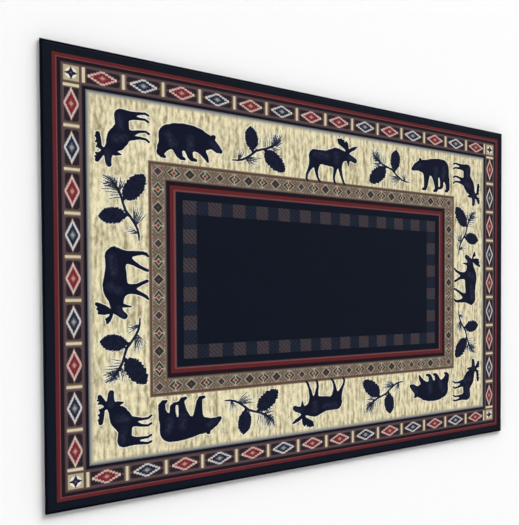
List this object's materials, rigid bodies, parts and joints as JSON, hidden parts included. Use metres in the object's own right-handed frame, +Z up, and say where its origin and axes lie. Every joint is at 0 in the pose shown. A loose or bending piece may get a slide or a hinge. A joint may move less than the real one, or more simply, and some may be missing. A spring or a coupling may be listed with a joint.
{
  "type": "lodge rug",
  "caption": "Flat rectangular woven rug with cut pile, a banded border, woodland animals on a cream field and an overcast yarn edge.",
  "frame": {"origin": "on the floor under the middle of the rug", "axes": "+X along the long side, +Y along the short side, +Z up out of the pile"},
  "size_m": [2.31, 1.6, 0.01],
  "materials": {
    "pile": "sheared cut pile, matt",
    "backing": "plain ground weave, matt",
    "edging_yarn": "overcast yarn, matt"
  },
  "bodies": {
    "root": {"rug_body": "pile", "side_edging_near": "edging_yarn", "side_edging_far": "edging_yarn", "end_edging_left": "edging_yarn", "end_edging_right": "edging_yarn"}
  },
  "joints": []
}
